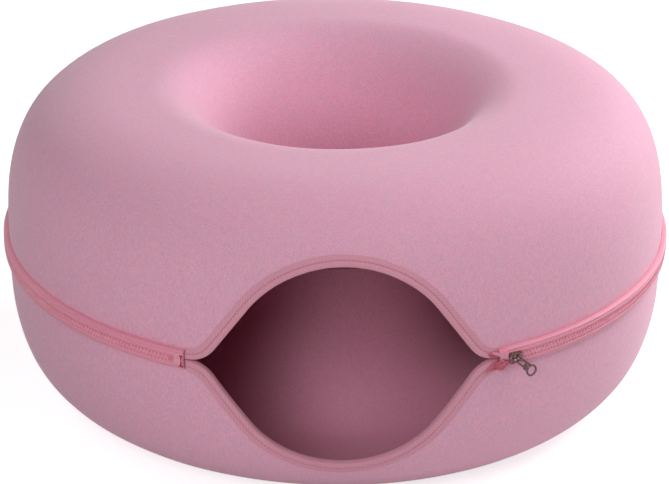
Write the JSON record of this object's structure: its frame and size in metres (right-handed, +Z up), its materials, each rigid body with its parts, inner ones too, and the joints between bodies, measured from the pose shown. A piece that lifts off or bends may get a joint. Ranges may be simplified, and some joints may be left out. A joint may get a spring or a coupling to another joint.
{
  "type": "donut cat tunnel",
  "caption": "Felt cat tunnel shaped like a donut: two moulded half rings zipped round the outside and the centre hole, with a bound lens-shaped entrance in front.",
  "frame": {"origin": "on the floor, at the centre of the bounding box of the closed tunnel", "axes": "+Z up; the entrance faces -Y; +X to the right when facing the entrance"},
  "size_m": [0.6015, 0.5887, 0.28],
  "materials": {
    "felt": "matt needled felt",
    "binding_weave": "matt twill weave",
    "zip_tape": "ribbed woven tape",
    "zip_teeth": "satin moulding",
    "thread": "twisted sewing thread",
    "gunmetal": "dark plated metal"
  },
  "bodies": {
    "bottom_half": {"bottom_shell": "felt", "lower_entrance_binding": "binding_weave", "lower_binding_thread": "thread", "right_corner_stitching_lower": "thread", "left_corner_tack_lower": "thread", "outer_zip_lower_tape": "zip_tape", "outer_zip_lower_teeth": "zip_teeth", "outer_zip_lower_top_stop": "zip_teeth", "outer_zip_box": "zip_teeth", "inner_zip_lower_tape": "zip_tape", "inner_zip_lower_teeth": "zip_teeth", "inner_zip_lower_top_stop": "zip_teeth", "inner_zip_box": "zip_teeth"},
    "top_half": {"top_shell": "felt", "upper_entrance_binding": "binding_weave", "upper_binding_thread": "thread", "right_corner_stitching_upper": "thread", "left_corner_tack_upper": "thread", "outer_zip_upper_tape": "zip_tape", "outer_zip_upper_teeth": "zip_teeth", "outer_zip_upper_top_stop": "zip_teeth", "outer_zip_pin": "zip_teeth", "inner_zip_upper_tape": "zip_tape", "inner_zip_upper_teeth": "zip_teeth", "inner_zip_upper_top_stop": "zip_teeth", "inner_zip_pin": "zip_teeth"},
    "outer_slider": {"outer_zip_slider_body": "gunmetal", "outer_zip_slider_crown": "gunmetal", "outer_zip_slider_spring": "gunmetal"},
    "outer_pull": {"outer_zip_pull_tab": "gunmetal"},
    "inner_slider": {"inner_zip_slider_body": "gunmetal", "inner_zip_slider_crown": "gunmetal", "inner_zip_slider_spring": "gunmetal"},
    "inner_pull": {"inner_zip_pull_tab": "gunmetal"}
  },
  "joints": [
    {"name": "top_half_lift", "type": "slide", "parent": "bottom_half", "child": "top_half", "axis": [0, 0, 1], "range_m": [0, 0.2]},
    {"name": "outer_slider_travel", "type": "hinge", "parent": "bottom_half", "child": "outer_slider", "pos_m": [0, -0.0063, 0.14], "axis": [0, 0, 1], "range_deg": [0, 302]},
    {"name": "outer_pull_flip", "type": "hinge", "parent": "outer_slider", "child": "outer_pull", "pos_m": [0.1504, -0.2702, 0.14], "axis": [-0.6143, -0.3501, -0.7071], "range_deg": [0, 98]},
    {"name": "inner_slider_travel", "type": "hinge", "parent": "bottom_half", "child": "inner_slider", "pos_m": [0, -0.0063, 0.14], "axis": [0, 0, 1], "range_deg": [0, 334]},
    {"name": "inner_pull_flip", "type": "hinge", "parent": "inner_slider", "child": "inner_pull", "pos_m": [0.01723, -0.08805, 0.14], "axis": [0.6919, 0.1458, 0.7071], "range_deg": [0, 98]}
  ]
}
